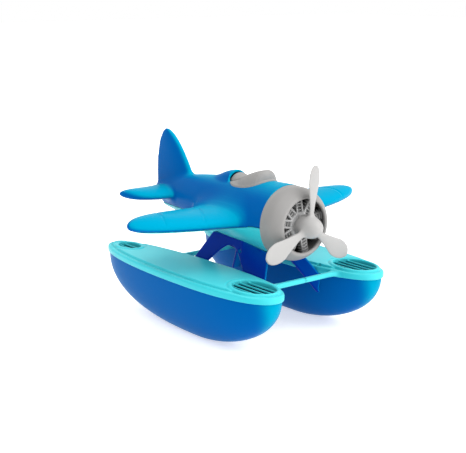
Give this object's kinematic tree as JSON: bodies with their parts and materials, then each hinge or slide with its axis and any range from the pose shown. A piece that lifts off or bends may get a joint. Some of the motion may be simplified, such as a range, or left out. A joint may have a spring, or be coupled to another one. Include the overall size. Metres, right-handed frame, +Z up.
{
  "type": "toy seaplane",
  "caption": "Toy float plane for the bath: low wing, cockpit with headrest and windscreen, radial engine in a cowl, spinning propeller and hollow floats with slatted vents.",
  "frame": {"origin": "on the ground, under the middle of the overall length and span, between the two floats", "axes": "+X to the nose, +Y to the port wing, +Z up"},
  "size_m": [0.2317, 0.2408, 0.1519],
  "materials": {
    "blue_plastic": "satin moulded plastic, strong blue",
    "teal_plastic": "satin moulded plastic, light teal",
    "grey_plastic": "fine matt moulded plastic, mid grey",
    "light_grey_plastic": "fine matt moulded plastic, light grey",
    "engine_plastic": "matt moulded plastic, dark grey"
  },
  "bodies": {
    "airframe": {"upper_shell": "blue_plastic", "belly_shell": "teal_plastic", "cockpit_insert": "grey_plastic", "engine_cowl": "grey_plastic", "radial_engine": "engine_plastic", "strut_frame": "blue_plastic", "float_decks": "teal_plastic", "float_hull_port": "blue_plastic", "float_hull_starboard": "blue_plastic", "saddle_pins": "blue_plastic", "foot_pins": "blue_plastic"},
    "propeller": {"propeller": "light_grey_plastic", "propeller_shaft": "light_grey_plastic", "shaft_retainer": "light_grey_plastic"}
  },
  "joints": [
    {"name": "propeller_spin", "type": "hinge", "parent": "airframe", "child": "propeller", "pos_m": [0.0919, 0, 0.094], "axis": [1, 0, 0], "continuous": true}
  ]
}
